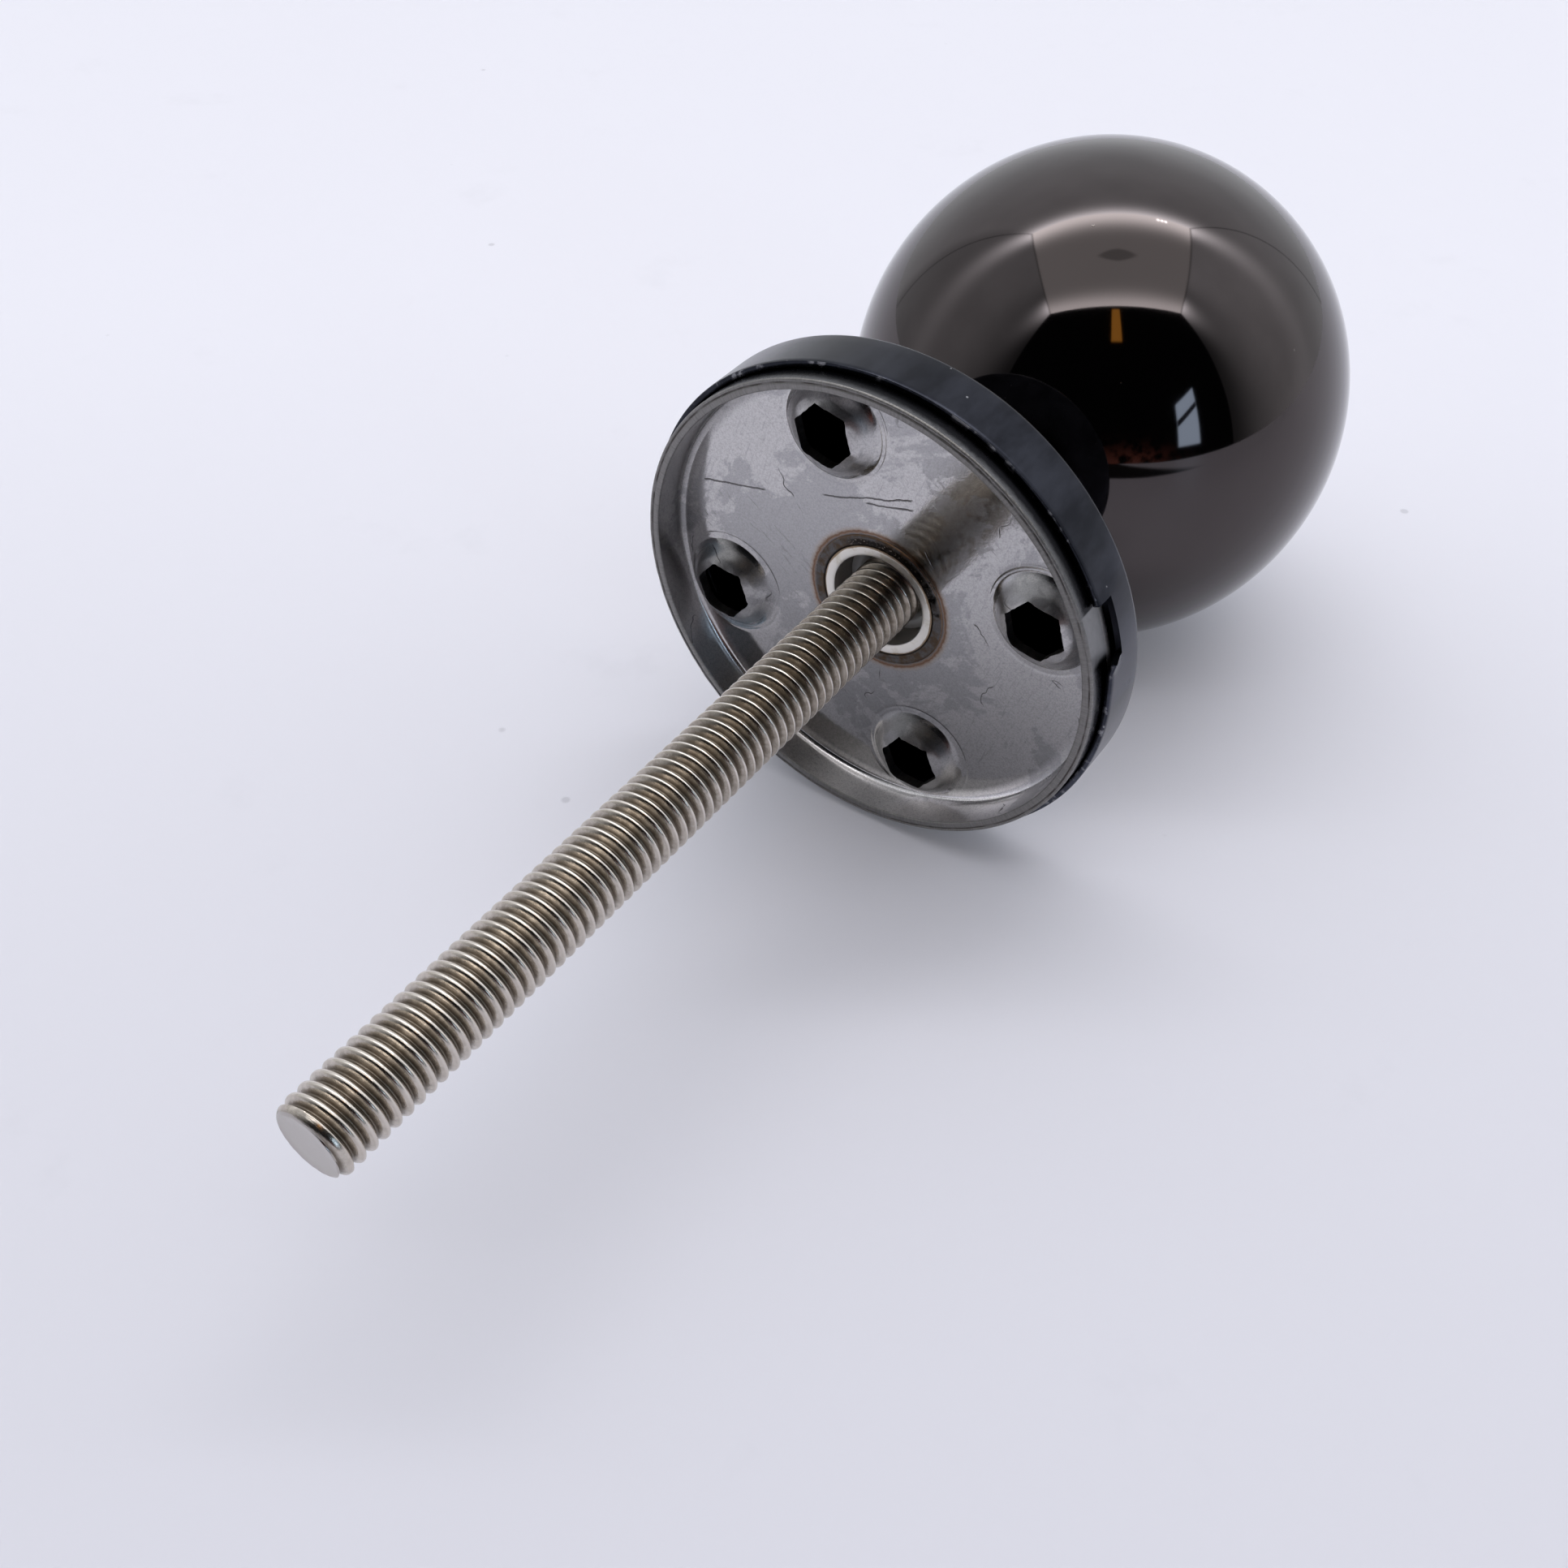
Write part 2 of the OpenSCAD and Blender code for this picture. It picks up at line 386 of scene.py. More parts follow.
def make_world():
    """A light tent that lights the knob and shows in its polish; the camera itself sees a plain backdrop."""
    world = bpy.data.worlds.new("light_tent")
    bpy.context.scene.world = world
    world.use_nodes = True
    net = Net(world.node_tree)
    way = net.add("ShaderNodeTexCoord").outputs["Generated"]
    (at_front, at_left, at_height), is_ceiling, is_open, from_seam = tent_places(net, way)
    level = net.blend(is_ceiling, tent_walls(net, way, at_front, at_left, at_height),
                      tent_ceiling(net, at_front, at_left))
    lit = net.tint(net.grey(level), net.grey(net.step(from_seam, 0.004, 0.02, 0.45, 1.0)))
    tinted = net.mix(is_ceiling, net.tint(lit, (0.98, 1.0, 1.05)), net.tint(lit, (1.0, 0.99, 1.0)))
    tent = net.mix(is_open, tinted, tent_opening(net, way, at_left, at_height))

    choice = net.add("ShaderNodeMixShader")
    net.put(choice.inputs[0], net.add("ShaderNodeLightPath").outputs["Is Camera Ray"])
    for socket, colour in zip(choice.inputs[1:], (tent, BACKDROP)):
        background = net.add("ShaderNodeBackground")
        net.put(background.inputs["Color"], colour)
        net.put(socket, background.outputs[0])
    output = net.add("ShaderNodeOutputWorld")
    net.put(output.inputs["Surface"], choice.outputs[0])


# Materials

def black_nickel():
    """Polished black nickel: a warm dark mirror with a faint swirl and a few dust specks."""
    s = Surface("black_nickel", 1.0)
    cloud = s.noise(s.place, 0.09, 3.0)
    colour = s.mix(cloud, (0.072, 0.0625, 0.061), (0.086, 0.0755, 0.075))
    speck = s.flecks(0.55, 0.04, 0.08, 0.93, 0.01)
    colour = s.mix(s.times(speck, 0.25), colour, (0.42, 0.38, 0.35))
    roughness = s.total(0.035, s.times(s.noise(s.place, 0.35, 4.0), 0.03), s.times(speck, 0.25))
    height = s.total(s.times(s.noise(s.place, 0.25, 2.0), 0.35), speck)
    return s.finish(colour, roughness, height, 0.006)


def satin_nickel():
    """The cover's softer, bluer plating, worn bright on its cut edge, with painted light that makes its -Z
    side lighter.
    """
    s = Surface("satin_black_nickel", 1.0)
    on_skirt = s.step(s.radius, COVER_R - 1.6, COVER_R - 0.6)
    drawn = s.noise(s.around(7.0, s.times(s.y, 0.12)), 1.0, 4.0, 0.6)
    flat = s.noise(s.place, 0.16, 4.0, 0.6)
    cloud = s.blend(on_skirt, flat, drawn)
    colour = s.mix(s.step(cloud, 0.3, 0.7), (0.015, 0.016, 0.0205), (0.034, 0.036, 0.046))
    # Painted light: the colour is raised up to 2.6 times toward -Z, so that side of the cover reads lighter.
    colour = s.mix(s.step(s.z, 14.0, -14.0), colour, s.tint(colour, (2.6, 2.6, 2.6)))
    worn = s.times(s.step(s.y, cover_high.y - 0.10, cover_high.y - 0.03),
                   s.step(s.noise(s.place, 1.1, 3.0), 0.52, 0.68))
    colour = s.mix(s.times(worn, 0.6), colour, (0.42, 0.42, 0.44))
    speck = s.flecks(0.8, 0.05, 0.09, 0.8)
    colour = s.mix(s.times(speck, 0.5), colour, (0.5, 0.5, 0.52))
    roughness = s.total(0.16, s.times(cloud, 0.16), s.times(worn, 0.1))
    height = s.total(s.noise(s.place, 0.5, 3.0), s.times(speck, 0.5),
                     s.times(s.noise(s.place, 12.0, 2.0), 0.1))
    return s.finish(colour, roughness, height, 0.008)


def scuffed_and_shaded(s, dull, streak, fine):
    """The plate's own colour, with its scuffs, then painted shade that darkens the floor toward -Z and
    painted light that brightens the wall toward -Z.
    """
    grit = s.step(s.noise(s.place, 3.5, 4.0, 0.7), 0.50, 0.72)
    speckle = s.step(s.noise(s.place, 8.0, 3.0, 0.75), 0.42, 0.62)
    colour = s.mix(s.times(dull, 0.85), (0.62, 0.605, 0.60), (0.44, 0.435, 0.44))
    colour = s.mix(s.times(streak, 0.5), colour, (0.30, 0.295, 0.30))
    colour = s.mix(s.times(s.step(fine, 0.55, 0.75), 0.7), colour, (0.38, 0.375, 0.38))
    colour = s.mix(s.times(grit, 0.5), colour, (0.38, 0.37, 0.37))
    colour = s.mix(s.times(speckle, 0.32), colour, (0.26, 0.255, 0.26))
    # Painted shade and light: the floor darkens toward -Z, and the wall is brighter toward -Z and darker
    # elsewhere.
    floor_painted_shade = s.step(s.z, -15.0, 10.0, 0.50, 0.97)
    wall_painted_shading = s.step(s.z, -18.0, -3.0, 1.55, 0.62)
    in_wall = s.step(s.radius, 18.2, 19.0)
    return s.tint(colour, s.grey(s.blend(in_wall, floor_painted_shade, wall_painted_shading)))


def hairlines(s):
    """1 on the plate's dark hairlines: a few long scratches and some rare cracks in the skin."""
    crack = s.cells(s.warped(2.5, 0.5), 0.085, "DISTANCE_TO_EDGE").outputs["Distance"]
    rare = s.step(s.noise(s.place, 0.21, 2.0), 0.54, 0.60)
    hair = s.times(s.step(crack, 0.002, 0.006, 1.0, 0.0), rare)
    for start, end in SCRATCHES:
        hair = s.math("MAXIMUM", hair, s.line(start, end, 0.09))
    return hair


def heat_ring(s, colour):
    """Adds the grey core, the brown ring and the faint halo that the mouth weld left on the floor."""
    on_floor = s.times(s.step(s.y, -3.0, -3.1), s.step(s.y, -3.5, -3.4))
    wander = s.times(s.less(s.noise(s.place, 2.6, 4.0), 0.5), 0.30)
    heat_r = s.total(s.radius, wander)
    for amount, strength, burnt in ((s.step(heat_r, 6.80, 6.15), 0.6, (0.34, 0.25, 0.17)),
                                    (s.step(heat_r, 6.18, 5.95), 1.0, (0.13, 0.125, 0.125)),
                                    (s.bump_at(heat_r, 6.20, 0.15), 0.85, (0.13, 0.062, 0.032))):
        colour = s.mix(s.times(amount, on_floor, strength), colour, burnt)
    return colour


def sheet_steel():
    """The pressed plate: bright rolled steel with dull patches, hairlines, a heat ring at the weld, and
    painted shade and light on its floor and wall.
    """
    s = Surface("sheet_steel", 1.0)
    cloud = s.noise(s.place, 0.13, 5.0, 0.62, 0.6)
    ragged = s.noise(s.stretched(s.place, 35, 3.0), 1.5, 4.0, 0.7)
    central = s.step(s.radius, 17.0, 6.0, -0.05, 0.09)
    dull = s.step(s.total(cloud, s.times(ragged, 0.24), central), 0.60, 0.66)
    streak = s.times(s.step(s.noise(s.stretched(s.place, -38, 7.0), 2.4, 3.0, 0.65), 0.60, 0.70),
                     s.step(s.noise(s.place, 0.16, 2.0), 0.46, 0.60))
    fine = s.noise(s.stretched(s.place, 70, 14.0), 5.0, 3.0, 0.6)
    hair = hairlines(s)
    colour = s.mix(s.times(hair, 0.85), scuffed_and_shaded(s, dull, streak, fine), (0.07, 0.065, 0.065))
    pressed = s.step(s.y, -3.15, -2.8)
    roughness = s.total(0.07, s.times(dull, 0.10), s.times(s.noise(s.place, 2.2, 4.0, 0.65), 0.08),
                        s.times(streak, 0.1), s.times(pressed, 0.20))
    height = s.total(s.times(s.noise(s.place, 0.30, 3.0), 0.6), s.times(dull, -0.12), s.times(hair, -1.5),
                     s.times(fine, 0.10), s.times(s.noise(s.place, 7.0, 3.0, 0.6), 0.09))
    return s.finish(heat_ring(s, colour), roughness, height, 0.012)


def cut_edge():
    """The plate's sheared rim, with marks that run across it."""
    s = Surface("cut_edge", 1.0)
    marks = s.noise(s.around(95.0, s.times(s.radius, 0.6)), 1.0, 4.0, 0.65)
    grain = s.noise(s.place, 6.0, 4.0, 0.7)
    colour = s.mix(marks, (0.13, 0.125, 0.12), (0.34, 0.33, 0.32))
    groove = s.times(s.bump_at(s.radius, 20.14, 0.05), s.step(s.noise(s.place, 0.8, 3.0), 0.35, 0.6))
    colour = s.mix(s.times(groove, 0.75), colour, (0.10, 0.085, 0.075))
    roughness = s.total(0.30, s.times(grain, 0.2))
    height = s.total(marks, s.times(grain, 0.6), s.times(groove, -0.8))
    return s.finish(colour, roughness, height, 0.05)


def outer_wall():
    """The plate's outer wall: painted shade from the gap under the cover, darkest deep under it and lighter
    toward the rim, missing where the notch lies.
    """
    s = Surface("outer_wall", 1.0)
    smear = s.noise(s.around(30.0, s.times(s.y, 2.0)), 1.0, 4.0, 0.6)
    # Painted shade: the wall goes near black away from the rim, where the cover overhangs it.
    near_rim = s.step(s.total(s.y, s.times(smear, 0.4)), -0.6, 0.1)
    colour = s.mix(near_rim, (0.010, 0.010, 0.012), (0.13, 0.13, 0.135))
    # Where the notch leaves the wall uncovered, the painted shade gives way to the steel's grey.
    first, last = (math.radians(NOTCH_ANGLE + side * NOTCH_SPAN / 2) for side in (-1, 1))
    bare = s.times(s.step(s.angle, first, first + 0.008), s.step(s.angle, last, last - 0.03))
    colour = s.mix(bare, colour, s.mix(smear, (0.17, 0.17, 0.175), (0.27, 0.27, 0.275)))
    roughness = s.total(0.22, s.times(bare, 0.14), s.times(smear, 0.12))
    return s.finish(colour, roughness, smear, 0.01)


def weld_metal():
    """Fused weld metal, grey and smooth with brown stains and black pits."""
    s = Surface("weld_metal", 1.0)
    stain = s.noise(s.place, 1.1, 4.0, 0.6)
    colour = s.mix(s.step(stain, 0.40, 0.62), (0.095, 0.09, 0.088), (0.075, 0.052, 0.034))
    root = s.step(s.radius, 5.20, 5.06)
    turn = s.math("COSINE", s.less(s.angle, math.radians(BURN_ANGLE)))
    burnt = s.times(s.step(turn, 0.45, 0.75), s.step(s.radius, 5.70, 5.50))
    droplet = s.step(s.noise(s.place, 6.0, 2.0), 0.62, 0.68)
    black = s.math("MAXIMUM", s.times(root, 0.85), s.times(burnt, 0.92))
    colour = s.mix(black, colour, (0.010, 0.008, 0.007))
    colour = s.mix(s.times(burnt, droplet, 0.8), colour, (0.30, 0.26, 0.22))
    toe = s.bump_at(s.radius, 5.93, 0.06)
    colour = s.mix(s.times(toe, 0.7), colour, (0.20, 0.12, 0.07))
    roughness = s.total(0.18, s.times(stain, 0.25))
    height = s.total(s.noise(s.place, 2.5, 3.0), s.times(s.noise(s.place, 9.0, 2.0), 0.2))
    return s.finish(colour, roughness, height, 0.03)


def seam_bead():
    """The rough root bead inside the ball."""
    s = Surface("seam_bead", 1.0)
    ripple = s.noise(s.around(60.0, s.y), 1.0, 3.0)
    colour = s.mix(ripple, (0.20, 0.18, 0.17), (0.42, 0.37, 0.33))
    return s.finish(colour, s.total(0.3, s.times(ripple, 0.3)), ripple, 0.08)


def tube_steel():
    """The neck tube: black nickel outside, and a pale ground end face stained by the weld."""
    s = Surface("tube_steel", 1.0)
    cloud = s.noise(s.place, 0.9, 4.0, 0.6)
    bare = s.times(s.step(s.y, tube_high.y - 0.35, tube_high.y - 0.25), s.step(s.radius, 5.05, 5.0))
    inside = s.step(s.radius, 4.16, 4.12)
    colour = s.mix(cloud, (0.082, 0.063, 0.055), (0.10, 0.08, 0.07))
    face = s.mix(s.step(cloud, 0.50, 0.75), (0.84, 0.81, 0.75), (0.66, 0.61, 0.50))
    edge = s.step(s.total(s.radius, s.times(cloud, 0.2)), 4.92, 5.0)
    face = s.mix(s.times(edge, 0.85), face, (0.24, 0.15, 0.07))
    colour = s.mix(bare, colour, face)
    colour = s.mix(inside, colour, (0.50, 0.48, 0.45))
    roughness = s.total(s.times(bare, 0.34), s.times(inside, 0.5), 0.06, s.times(cloud, 0.06))
    height = s.total(cloud, s.times(s.noise(s.place, 8.0, 3.0), 0.3))
    return s.finish(colour, roughness, height, 0.012)


def rod_nickel():
    """Dull warm nickel on a rolled thread, with painted highlights on its crests, painted shade in its roots
    and on its flanks near the neck, and some grime.
    """
    s = Surface("rod_nickel", 1.0)
    cloud = s.noise(s.place, 0.55, 4.0, 0.6)
    grime = s.noise(s.place, 1.7, 4.0, 0.65)
    colour = s.mix(cloud, (0.60, 0.535, 0.46), (0.70, 0.65, 0.585))
    end_face = s.step(s.y, rod_high.y - 0.14, rod_high.y - 0.08)
    colour = s.mix(s.times(end_face, 0.7), colour, (0.42, 0.40, 0.385))
    on_thread = s.step(s.y, rod_high.y - 0.08, rod_high.y - 0.14)
    # Painted shade in the thread roots, its edge wandering with the grime noise.
    low = s.times(s.step(s.total(s.radius, s.times(grime, -0.25)), 2.70, 2.28), on_thread)
    near_neck = s.step(s.y, 40.0, 4.0)
    # Painted shade: the flanks are darkened, strongly near the neck where they stand for the dark reflection
    # of the tent's opening, and a little elsewhere by random grime.
    flank = s.times(s.step(s.radius, 2.935, 2.87), on_thread)
    grime_and_painted_shade = s.math("ADD", s.times(s.step(grime, 0.35, 0.65), 0.25), s.times(near_neck, 0.62), clamp=True)
    colour = s.mix(s.times(flank, grime_and_painted_shade), colour, (0.20, 0.168, 0.128))
    colour = s.mix(s.times(low, 0.85), colour, (0.12, 0.095, 0.068))
    # Painted highlight: the crests are lightened, more strongly near the neck.
    crest = s.times(s.step(s.radius, 2.915, 2.948), s.total(0.2, s.times(near_neck, 0.5)))
    colour = s.mix(crest, colour, (0.92, 0.89, 0.84))
    turned = s.noise(s.around(1.2, s.times(s.y, 14.0)), 1.0, 3.0)
    roughness = s.total(0.15, s.times(grime, 0.13), s.times(low, 0.15))
    height = s.total(s.times(grime, 0.5), s.times(turned, 0.5), s.times(s.noise(s.place, 9.0, 3.0), 0.3))
    return s.finish(colour, roughness, height, 0.015)


def insert_steel():
    """Plain turned steel, dark from handling."""
    s = Surface("insert_steel", 0.1)
    turned = s.noise(s.vector(s.times(s.radius, 9.0), s.times(s.angle, 0.6), 0.0), 1.0, 3.0)
    smear = s.noise(s.place, 0.9, 3.0)
    colour = s.mix(smear, (0.56, 0.55, 0.53), (0.70, 0.69, 0.66))
    colour = s.mix(s.times(turned, 0.3), colour, (0.40, 0.39, 0.375))
    roughness = s.total(0.45, s.times(smear, 0.15))
    return s.finish(colour, roughness, turned, 0.01)


def table_top():
    """The pale laminated table with faint smudges and specks, and painted shade that darkens it toward the
    tent's open front.
    """
    s = Surface("table_top", 0.0)
    wide = s.noise(s.place, 0.012, 4.0, 0.55)
    smudge = s.step(s.noise(s.place, 0.05, 5.0, 0.65), 0.60, 0.74)
    colour = s.mix(wide, (0.815, 0.815, 0.885), (0.83, 0.83, 0.90))
    colour = s.mix(s.times(smudge, 0.10), colour, (0.56, 0.56, 0.62))
    speck = s.flecks(0.09, 0.025, 0.05, 0.8)
    colour = s.mix(s.times(speck, 0.35), colour, (0.30, 0.30, 0.34))
    front = s.total(s.times(s.x, FRONT_X), s.times(s.y, FRONT_Y))
    side = s.total(s.times(s.x, FRONT_Y), s.times(s.y, -FRONT_X))
    # Painted shade: the table darkens toward the tent's open front.
    colour = s.mix(s.step(front, 110.0, -110.0), s.tint(colour, (0.78, 0.78, 0.79)), colour)
    rays = s.add("ShaderNodeLightPath").outputs
    # Painted shade: reflections show the table past the tent's open front as near black.
    outside = s.times(s.step(front, TABLE_FRONT - 15.0, TABLE_FRONT + 15.0), rays["Is Glossy Ray"],
                      s.step(s.math("ABSOLUTE", side), 240.0, 150.0))
    colour = s.mix(outside, colour, (0.012, 0.012, 0.013))
    seen = s.total(rays["Is Camera Ray"], rays["Is Glossy Ray"], rays["Is Transmission Ray"])
    lift = s.times(seen, s.less(1.0, outside), TABLE_LIFT)
    s.put(s.shader.inputs["Emission Color"], (0.96, 0.97, 1.06))
    s.put(s.shader.inputs["Emission Strength"], lift)
    s.shader.inputs["Specular IOR Level"].default_value = 0.25
    return s.finish(colour, s.total(0.5, s.times(smudge, -0.1)), s.noise(s.place, 0.6, 3.0), 0.01)


# Mesh building

class Shape:
    """Faces in millimetres, gathered with their material numbers and joined where their corners meet."""

    def __init__(self):
        self.corners = []
        self.faces = []

    def add_face(self, points, material=0):
        if len(points) < 3:
            return
        first = len(self.corners)
        self.corners.extend(points)
        self.faces.append((list(range(first, first + len(points))), material))

    def add_grid(self, rows, material=0, close=False):
        """Quads between rows of points; close joins each row's end to its start."""
        for low, high in zip(rows, rows[1:]):
            count = len(low)
            for i in range(count if close else count - 1):
                j = (i + 1) % count
                quad = [low[i], low[j], high[j], high[i]]
                self.add_face([p for k, p in enumerate(quad) if (p - quad[k - 1]).length > 1e-6], material)

    def make(self, name, materials, sharp=40.0, smooth_normals=None):
        """The finished object, in metres, with its corners merged and its faces turned outwards."""
        mesh = bpy.data.meshes.new(name)
        work = bmesh.new()
        corners = [work.verts.new(p * MM) for p in self.corners]
        for numbers, material in self.faces:
            face = work.faces.new([corners[n] for n in numbers])
            face.material_index = material
            face.smooth = True
        bmesh.ops.remove_doubles(work, verts=work.verts, dist=2e-7)
        bmesh.ops.dissolve_degenerate(work, edges=work.edges, dist=1e-8)
        bmesh.ops.recalc_face_normals(work, faces=work.faces)
        work.to_mesh(mesh)
        work.free()
        for material in materials:
            mesh.materials.append(material)
        mesh.set_sharp_from_angle(angle=math.radians(sharp))
        if smooth_normals is not None:
            set_normals(mesh, smooth_normals)
        piece = bpy.data.objects.new(name, mesh)
        bpy.context.collection.objects.link(piece)
        return piece


def set_normals(mesh, rule):
    """Gives each face corner the normal that rule(place, face normal) says, in millimetres."""
    normals = []
    for face in mesh.polygons:
        for corner in face.loop_indices:
            place = mesh.vertices[mesh.loops[corner].vertex_index].co / MM
            normals.append(rule(place, face.normal))
    mesh.normals_split_custom_set(normals)


def turned(radius, y, angle):
    """A point at that radius, height and angle from +X toward +Z."""
    return Vector((radius * math.cos(angle), y, radius * math.sin(angle)))


def spoke(angle, radius=1.0):
    """A flat (x, z) vector at an angle from +X."""
    return Vector((radius * math.cos(angle), radius * math.sin(angle)))


def share(value):
    """The value, kept between 0 and 1."""
    return min(max(value, 0.0), 1.0)


def ring_angles(count):
    return [TAU * i / count for i in range(count)]


def lathe(shape, outline, count, material=0, shift=None):
    """Turns an outline of (radius, y) about the knob's axis; shift(radius, y, angle) may move each point."""
    angles = ring_angles(count)
    rows = []
    for radius, y in outline:
        row = []
        for angle in angles:
            moved = (radius, y) if shift is None else shift(radius, y, angle)
            row.append(turned(moved[0], moved[1], angle))
        rows.append(row)
    shape.add_grid(rows, material, close=True)


def arc(centre, radius, start, end, count):
    """Points (radius, y) on an arc; angles are in degrees from the radial direction toward +Y."""
    points = []
    for i in range(count + 1):
        angle = math.radians(start + (end - start) * i / count)
        points.append((centre[0] + radius * math.cos(angle), centre[1] + radius * math.sin(angle)))
    return points


def offset(radius, y, *steps):
    """Outline points at steps of (outward, up) from one place."""
    return [(radius + out, y + up) for out, up in steps]


def clay(x, y, z):
    """A smooth random value of about -1 to 1 at a place."""
    return noise.noise(Vector((x, y, z)))


def clay_round(angle, scale, along):
    """Clay that joins up round the axis; the larger scale is, the finer it is."""
    return clay(scale * math.cos(angle), scale * math.sin(angle), along)


def place_piece(piece, body, slot, *nodes):
    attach(piece, body)
    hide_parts(*nodes)


# Ball and neck

def sphere_normal(place, face_normal):
    """The ball's own normal on its outer and inner faces, so that its polish has no facets or seam."""
    out = (place - Vector((0, BALL_Y, 0))).normalized()
    if abs(out.dot(face_normal)) < 0.9:
        return face_normal
    return out if out.dot(face_normal) > 0 else -out


def ball_half(name, low_angle, high_angle):
    """One pressed half of the hollow ball, between two angles in its section."""
    centre = (0, BALL_Y)
    outer = arc(centre, BALL_R, low_angle, high_angle[0], 56)
    inner = arc(centre, BALL_R - BALL_WALL, high_angle[1], low_angle, 28)
    shape = Shape()
    outline = [(max(r, 0.0), y) for r, y in outer + inner]
    lathe(shape, outline + outline[:1], 160)
    return shape.make(name, [polish], smooth_normals=sphere_normal)


def make_ball():
    front = ball_half("ball_front", 0, (-90, -90))
    place_piece(front, "knob", "black_nickel", "ball_front_shell")
    outer_end = math.degrees(math.acos(TUBE_R / BALL_R))
    inner_end = math.degrees(math.acos(TUBE_R / (BALL_R - BALL_WALL)))
    rear = ball_half("ball_rear", 0, (outer_end, inner_end))
    place_piece(rear, "knob", "black_nickel", "ball_rear_shell")


def make_neck():
    bore = TUBE_R - NECK_WALL
    low, high = tube_low.y, tube_high.y
    outline = offset(bore, low, (0, 0.1), (0.1, 0)) + offset(TUBE_R, low, (-0.1, 0), (0, 0.1))
    outline += [(TUBE_R, -16.0), (TUBE_R, -10.0), (TUBE_R, -4.1)]
    outline += offset(TUBE_R, high, (0, -0.12), (-0.03, -0.04), (-0.12, 0), (-0.3, 0))
    outline += offset(bore, high, (0.25, 0), (0.10, -0.02), (0.02, -0.08), (0, -0.2), (0, -1.2), (0, -2.5))
    outline.append(outline[0])

    def worn(radius, y, angle):
        """The ground mouth is slightly wavy and nicked."""
        if y < high - 0.5:
            return radius, y
        return radius, y - 0.02 - 0.02 * clay_round(angle, 3, 4.0 + radius)

    shape = Shape()
    lathe(shape, outline, 144, shift=worn)
    place_piece(shape.make("neck", [tube_finish]), "knob", "black_nickel", "neck_tube")


def make_neck_weld():
    """A hollow fillet of small overlapping ripples between the neck and the ball."""
    count = 200
    foot_r = weld_high.x - 0.02
    foot_y = BALL_Y + math.sqrt(BALL_R ** 2 - foot_r ** 2)
    root_y = BALL_Y + math.sqrt(BALL_R ** 2 - TUBE_R ** 2)
    top_y = weld_high.y
    outline = [(foot_r, foot_y)]
    for i in range(1, 8):
        t = i / 8
        bulge = 0.26 * math.sin(math.pi * t)
        outline.append((foot_r + (TUBE_R - foot_r) * t - bulge, foot_y + (top_y - foot_y) * t - bulge * 0.4))
    outline += [(TUBE_R, top_y), (TUBE_R, root_y), (TUBE_R + 0.5, root_y - 0.13), (foot_r, foot_y)]

    def rippled(radius, y, angle):
        seat = BALL_Y + math.sqrt(BALL_R ** 2 - radius ** 2)
        lift = min(radius - TUBE_R, y - seat, 0.25)
        if lift <= 0.001:
            return radius, y
        scale = 0.05 * math.sin(40 * angle + 2.5 * y) + 0.05 * clay_round(angle, 9, y)
        return max(radius + scale * lift / 0.25, TUBE_R), y

    shape = Shape()
    lathe(shape, outline, count, shift=rippled)
    place_piece(shape.make("neck_bead", [polish], sharp=60), "knob", "black_nickel", "neck_weld")


def make_insert():
    """The turned insert, with a chamfer that leads the rod into its bore."""
    low, high, radius = insert_low.y, insert_high.y, insert_high.x
    outline = offset(INSERT_BORE_R, low, (0, 0.3), (0.3, 0)) + offset(radius, low, (-0.2, 0), (0, 0.2))
    outline += offset(radius, high, (0, -0.15), (-0.04, -0.05), (-0.15, 0))
    outline += offset(INSERT_BORE_R, high, (0.34, 0), (0.28, -0.03), (0, -0.32))
    outline.append(outline[0])
    shape = Shape()
    lathe(shape, outline, 120)
    place_piece(shape.make("insert", [turned_steel]), "knob", "plain_steel", "threaded_insert")


def make_mouth_weld():
    """The weld round the tube's mouth: a hollow ring with a beaded, pitted stretch."""
    low, high, foot = ring_low.y, ring_high.y, ring_high.x
    outline = [(TUBE_R, low)]
    outline += offset(foot, low, (0, 0), (-0.03, 0.05), (-0.10, 0.10), (-0.2, 0.11), (-0.34, 0.09),
                      (-0.5, 0.08), (-0.64, 0.09), (-0.74, 0.11), (-0.82, 0.10), (-0.88, 0.04))
    outline += [(TUBE_R, low + 0.02), (TUBE_R, low)]

    def beaded(radius, y, angle):
        if y < low + 0.03:
            return radius, y
        degrees = math.degrees(angle)
        rough = max(0.0, 1 - abs(degrees - 108) / 62)
        drops = 0.055 * max(0.0, clay_round(angle, 26, radius * 3))
        drops += 0.035 * clay_round(angle, 60, radius * 5)
        lift = y + rough * (0.02 + drops) + 0.006 * clay_round(angle, 8, radius)
        spot = turned(radius, 0, angle)
        for at, pit_r, width in WELD_PITS:
            gap = (spot - turned(pit_r, 0, math.radians(at))).length / width
            lift -= 0.5 * math.exp(-gap ** 4)
        return radius, min(max(lift, low + 0.004), high)

    shape = Shape()
    lathe(shape, outline, 288, shift=beaded)
    place_piece(shape.make("mouth_bead", [weld], sharp=70), "knob", "weld_metal", "mouth_weld")


# Screw plate

NECK_COUNT = 144
PLATE_COUNT = 240
# Radii of the floor's net: round each recess, then round the axis.
RECESS_NET_R = (2.95, 3.1, 3.25, 3.4, 3.55, 3.7, 3.85, 4.0, 4.12, 4.22, 4.32, 4.45, 4.54, 4.62, 4.7, 4.78,
                4.86, 4.95, 5.1)
FLOOR_NET_R = (5.6, 6.4, 7.6, 9.2, 11.0, 13.0, 15.0, 17.0, 18.3)
HOLE_SEEDS = (3, 8, 14, 21)


def screw_centres():
    return [spoke(math.radians(SCREW_ANGLE + 90 * i), SCREW_RING_R) for i in range(SCREW_COUNT)]


